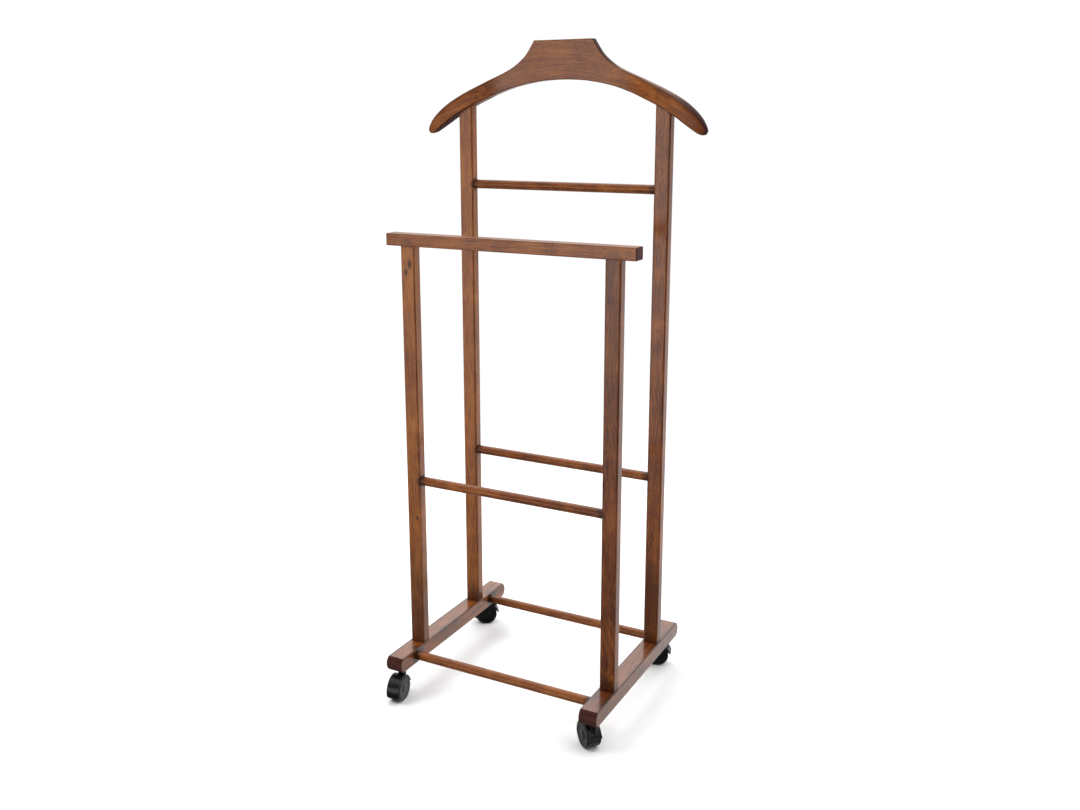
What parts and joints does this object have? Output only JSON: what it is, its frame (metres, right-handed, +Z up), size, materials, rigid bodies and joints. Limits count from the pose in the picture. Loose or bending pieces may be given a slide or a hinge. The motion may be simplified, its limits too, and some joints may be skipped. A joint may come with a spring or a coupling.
{
  "type": "valet stand",
  "caption": "Wooden valet stand with two pairs of posts, a trouser bar in front, a contoured jacket hanger behind, round cross dowels and twin-wheel swivel casters.",
  "frame": {"origin": "on the floor, at the middle of the footprint", "axes": "+Z up, -Y towards the front (the trouser bar), +X to the right of somebody facing the front"},
  "size_m": [0.4988, 0.3626, 1.071],
  "materials": {
    "frame_wood": "walnut-stained beech, satin lacquer",
    "hanger_wood": "walnut-stained beech, satin lacquer",
    "dowel_wood": "walnut-stained beech, satin lacquer",
    "raw_wood": "raw beech, hidden in the joints",
    "steel": "zinc-plated",
    "socket_plastic": "moulded nylon",
    "hood_plastic": "satin moulded nylon",
    "wheel_plastic": "satin moulded nylon"
  },
  "bodies": {
    "frame": {"jacket_hanger": "hanger_wood", "hanger_pins": "raw_wood", "left_foot_rail": "frame_wood", "right_foot_rail": "frame_wood", "front_left_post": "frame_wood", "front_right_post": "frame_wood", "back_left_post": "frame_wood", "back_right_post": "frame_wood", "post_screws": "steel", "trouser_bar": "frame_wood", "trouser_bar_pins": "raw_wood", "upper_back_dowel": "dowel_wood", "middle_back_dowel": "dowel_wood", "middle_front_dowel": "dowel_wood", "front_base_dowel": "dowel_wood", "rear_base_dowel": "dowel_wood", "front_left_caster_socket": "socket_plastic", "front_right_caster_socket": "socket_plastic", "back_left_caster_socket": "socket_plastic", "back_right_caster_socket": "socket_plastic"},
    "front_left_caster": {"front_left_caster_stem": "steel", "front_left_caster_hood": "hood_plastic", "front_left_caster_axle": "steel"},
    "front_left_wheel_a": {"front_left_wheel_a": "wheel_plastic"},
    "front_left_wheel_b": {"front_left_wheel_b": "wheel_plastic"},
    "front_right_caster": {"front_right_caster_stem": "steel", "front_right_caster_hood": "hood_plastic", "front_right_caster_axle": "steel"},
    "front_right_wheel_a": {"front_right_wheel_a": "wheel_plastic"},
    "front_right_wheel_b": {"front_right_wheel_b": "wheel_plastic"},
    "back_left_caster": {"back_left_caster_stem": "steel", "back_left_caster_hood": "hood_plastic", "back_left_caster_axle": "steel"},
    "back_left_wheel_a": {"back_left_wheel_a": "wheel_plastic"},
    "back_left_wheel_b": {"back_left_wheel_b": "wheel_plastic"},
    "back_right_caster": {"back_right_caster_stem": "steel", "back_right_caster_hood": "hood_plastic", "back_right_caster_axle": "steel"},
    "back_right_wheel_a": {"back_right_wheel_a": "wheel_plastic"},
    "back_right_wheel_b": {"back_right_wheel_b": "wheel_plastic"}
  },
  "joints": [
    {"name": "front_left_swivel", "type": "hinge", "parent": "frame", "child": "front_left_caster", "pos_m": [-0.177, -0.1433, 0.0486], "axis": [0, 0, 1], "continuous": true},
    {"name": "front_left_wheel_a_spin", "type": "hinge", "parent": "front_left_caster", "child": "front_left_wheel_a", "pos_m": [-0.17501, -0.15746, 0.02], "axis": [0.9903, 0.1392, 0], "continuous": true},
    {"name": "front_left_wheel_b_spin", "type": "hinge", "parent": "front_left_caster", "child": "front_left_wheel_b", "pos_m": [-0.17501, -0.15746, 0.02], "axis": [0.9903, 0.1392, 0], "continuous": true},
    {"name": "front_right_swivel", "type": "hinge", "parent": "frame", "child": "front_right_caster", "pos_m": [0.177, -0.1433, 0.0486], "axis": [0, 0, 1], "continuous": true},
    {"name": "front_right_wheel_a_spin", "type": "hinge", "parent": "front_right_caster", "child": "front_right_wheel_a", "pos_m": [0.16589, -0.1343, 0.02], "axis": [-0.6293, -0.7771, 0], "continuous": true},
    {"name": "front_right_wheel_b_spin", "type": "hinge", "parent": "front_right_caster", "child": "front_right_wheel_b", "pos_m": [0.16589, -0.1343, 0.02], "axis": [-0.6293, -0.7771, 0], "continuous": true},
    {"name": "back_left_swivel", "type": "hinge", "parent": "frame", "child": "back_left_caster", "pos_m": [-0.177, 0.1622, 0.0486], "axis": [0, 0, 1], "continuous": true},
    {"name": "back_left_wheel_a_spin", "type": "hinge", "parent": "back_left_caster", "child": "back_left_wheel_a", "pos_m": [-0.18885, 0.1542, 0.02], "axis": [0.5592, -0.829, 0], "continuous": true},
    {"name": "back_left_wheel_b_spin", "type": "hinge", "parent": "back_left_caster", "child": "back_left_wheel_b", "pos_m": [-0.18885, 0.1542, 0.02], "axis": [0.5592, -0.829, 0], "continuous": true},
    {"name": "back_right_swivel", "type": "hinge", "parent": "frame", "child": "back_right_caster", "pos_m": [0.177, 0.1622, 0.0486], "axis": [0, 0, 1], "continuous": true},
    {"name": "back_right_wheel_a_spin", "type": "hinge", "parent": "back_right_caster", "child": "back_right_wheel_a", "pos_m": [0.16332, 0.15802, 0.02], "axis": [0.2924, -0.9563, 0], "continuous": true},
    {"name": "back_right_wheel_b_spin", "type": "hinge", "parent": "back_right_caster", "child": "back_right_wheel_b", "pos_m": [0.16332, 0.15802, 0.02], "axis": [0.2924, -0.9563, 0], "continuous": true}
  ]
}
